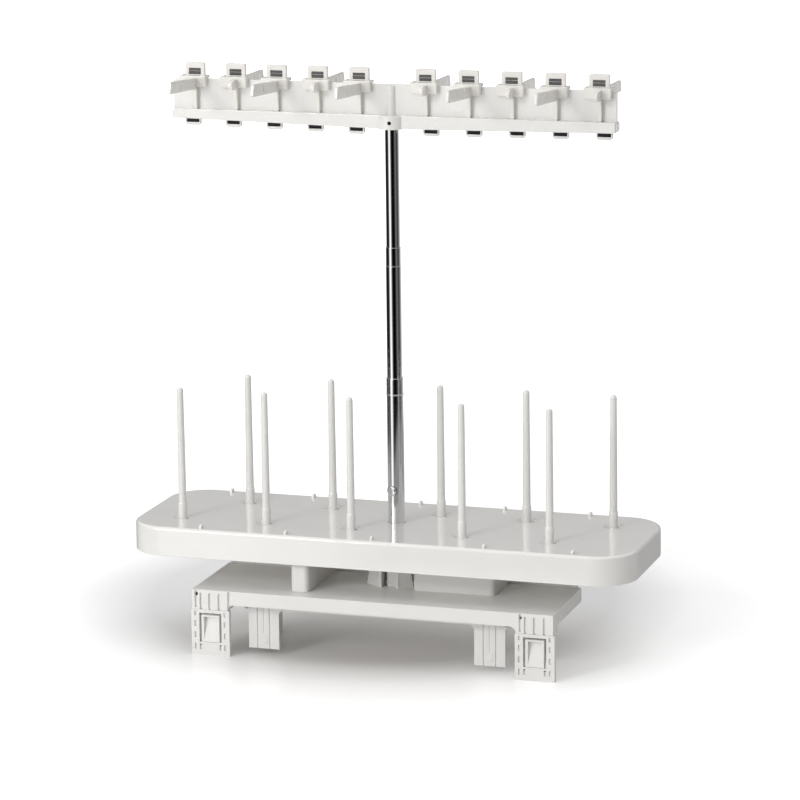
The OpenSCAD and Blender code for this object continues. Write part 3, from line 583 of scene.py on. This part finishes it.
# What the chrome sees: a ring on the floor round the stand, bright and dark by direction, seen in reflections only.
CAM_AZ = 17.836
SEEN = [(-180, 0.7), (-158, 0.3), (-140, 0.06), (-120, 0.02), (-107, 0.012), (-86, 0.02), (-74, 0.06), (-67, 0.4), (-60, 1.1), (-52.6, 1.4),
        (-44, 1.25), (-37.7, 0.95), (-30, 0.33), (-23.5, 0.09), (-16, 0.02), (-9.6, 0.0), (4, 0.0), (18, 0.006), (26, 0.025), (32, 0.06),
        (40, 0.15), (46.6, 0.2), (54, 0.16), (62, 0.1), (70, 0.065), (79, 0.06), (88, 0.09), (98, 0.16), (110, 0.35), (122, 0.62), (140, 0.85), (180, 0.75)]
seen_mat, t, b = nt_new("seen_by_chrome")
t.nodes.remove(b)
em = t.nodes.new("ShaderNodeEmission")
at = t.nodes.new("ShaderNodeAttribute")
at.attribute_name = "seen"
t.links.new(at.outputs["Color"], em.inputs["Color"])
t.links.new(em.outputs["Emission"], [n for n in t.nodes if n.type == "OUTPUT_MATERIAL"][0].inputs["Surface"])


def seen_at(deg):
    deg = (deg + 180) % 360 - 180
    for (a0, v0), (a1, v1) in zip(SEEN, SEEN[1:]):
        if a0 <= deg <= a1:
            k = (deg - a0) / (a1 - a0)
            k = k * k * (3 - 2 * k)
            return v0 + (v1 - v0) * k
    return 0.75


RADII = [0.36, 0.42, 0.54, 0.60, 0.645, 0.67, 0.70, 6.0]
NEAR = [1.0, 1.0, 1.0, 0.8, 0.3, 0.05, 0.0, 0.0]
STEP = 2
verts, faces, vals = [], [], []
for k, (rr, near) in enumerate(zip(RADII, NEAR)):
    for i in range(360 // STEP):
        rel = i * STEP
        ang = math.radians(CAM_AZ + rel)
        # the dark part comes closest on one line, and ends further out to both sides of it
        signed = (rel + 180) % 360 - 180
        wide = 1 + 0.26 * min(1.0, max(0.0, (signed + 14) / 40)) + 0.1 * min(1.0, max(0.0, (-signed - 60) / 30))
        out = rr * wide if 0.5 < rr < 6 else rr
        verts.append((out * math.sin(ang), -out * math.cos(ang), 0.0012))
        v = seen_at(rel)
        close = max(0.32, v) if 280 <= rel <= 335 else 0.32
        vals.append(v * (1 - near) + close * near)
n_ring = 360 // STEP
for k in range(len(RADII) - 1):
    for i in range(n_ring):
        j = (i + 1) % n_ring
        faces.append((k * n_ring + i, k * n_ring + j, (k + 1) * n_ring + j, (k + 1) * n_ring + i))
ring = stage_plane("chrome_surround", verts, seen_mat, faces)
ca = ring.data.color_attributes.new("seen", "FLOAT_COLOR", "POINT")
for i, v in enumerate(vals):
    ca.data[i].color = (v, v, v * 0.99, 1)
ring.visible_camera = False
ring.visible_diffuse = False
ring.visible_shadow = False
ring.visible_transmission = False
ring.visible_volume_scatter = False


def area(name, loc, target, size, size_y, power, color=(1, 1, 1)):
    d = bpy.data.lights.new(name, "AREA")
    d.shape = "RECTANGLE"
    d.size, d.size_y = size, size_y
    d.energy = power
    d.color = color
    o = bpy.data.objects.new(name, d)
    bpy.context.scene.collection.objects.link(o)
    o.location = loc
    o.rotation_euler = (Vector(target) - Vector(loc)).to_track_quat("-Z", "Y").to_euler()
    o.visible_camera = False
    return o


area("key", (-1.75, -2.55, 1.0), (0, 0, 0.2), 1.4, 1.3, 24)
area("window", (-1.3, -2.8, 1.65), (0, 0, 0.2), 0.6, 0.6, 17)
area("low_fill", (-0.7, -2.6, 0.5), (0, 0, 0.1), 2.4, 0.5, 9.2)

world = bpy.data.worlds.new("studio")
bpy.context.scene.world = world
world.use_nodes = True
wt = world.node_tree
bg = wt.nodes["Background"]
bg.inputs["Strength"].default_value = 1.0


def wnode(kind, **values):
    n = wt.nodes.new(kind)
    for k, v in values.items():
        if hasattr(v, "links"):
            wt.links.new(v, n.inputs[k.replace("_", " ")])
        else:
            n.inputs[k.replace("_", " ")].default_value = v
    return n


# white to the camera; what lights the stand is a soft dome with its own tone to each side, low and high
sep = wnode("ShaderNodeSeparateXYZ", Vector=wnode("ShaderNodeTexCoord").outputs["Generated"])
high = wnode("ShaderNodeMapRange", Value=sep.outputs["Z"], From_Min=0.15, From_Max=0.85, To_Min=0.0, To_Max=1.0)


def wmath(op, a, b):
    n = wt.nodes.new("ShaderNodeMath")
    n.operation = op
    for k, v in enumerate((a, b)):
        if hasattr(v, "links"):
            wt.links.new(v, n.inputs[k])
        else:
            n.inputs[k].default_value = v
    return n.outputs[0]


def towards(axis, sign):
    return wmath("MAXIMUM", wmath("MULTIPLY", sep.outputs[axis], sign), 0.0)


LOW = {("Y", -1.0): 0.0, ("Y", 1.0): 0.28, ("X", -1.0): 0.0, ("X", 1.0): 0.0}
HIGH = {("Y", -1.0): 0.0, ("X", -1.0): 0.0, ("X", 1.0): 0.0}
HIGH_ALL = 1.07


def tones(base, parts):
    total = base
    for (axis, sign), v in parts.items():
        if v:
            total = wmath("ADD", total, wmath("MULTIPLY", towards(axis, sign), v))
    return total


level = wmath("ADD", wmath("MULTIPLY", tones(HIGH_ALL, HIGH), high.outputs["Result"]),
              wmath("MULTIPLY", tones(0.0, LOW), wmath("SUBTRACT", 1.0, high.outputs["Result"])))
grey = wnode("ShaderNodeCombineColor", Red=level, Green=level, Blue=level)
wm = wt.nodes.new("ShaderNodeMix")
wm.data_type = "RGBA"
wt.links.new(wnode("ShaderNodeLightPath").outputs["Is Camera Ray"], wm.inputs["Factor"])
wt.links.new(grey.outputs["Color"], wm.inputs["A"])
wm.inputs["B"].default_value = (1, 1, 1, 1)
wt.links.new(wm.outputs["Result"], bg.inputs["Color"])
bpy.context.scene.view_settings.view_transform = "Standard"
bpy.context.scene.view_settings.look = "None"

# ------------------------------------------------------------------ camera

az, el, roll = math.radians(17.836), math.radians(12.405), math.radians(-0.668)
d = Vector((math.sin(az) * math.cos(el), -math.cos(az) * math.cos(el), math.sin(el)))
fwd = -d
right = fwd.cross(Vector((0, 0, 1))).normalized()
up = right.cross(fwd)
r = math.cos(roll) * right + math.sin(roll) * up
u = -math.sin(roll) * right + math.cos(roll) * up
target = Vector((0.00397, 0.0, 0.19757))
pos = target + d * 2.919
cam_data = bpy.data.cameras.new("camera")
cam_data.sensor_width = 36.0
cam_data.lens = 3752 / 800 * 36.0
cam_data.clip_end = 60
cam = bpy.data.objects.new("camera", cam_data)
bpy.context.scene.collection.objects.link(cam)
m = Matrix((r, u, d)).transposed().to_4x4()
m.translation = pos
cam.matrix_world = m
bpy.context.scene.camera = cam

bpy.context.view_layer.update()
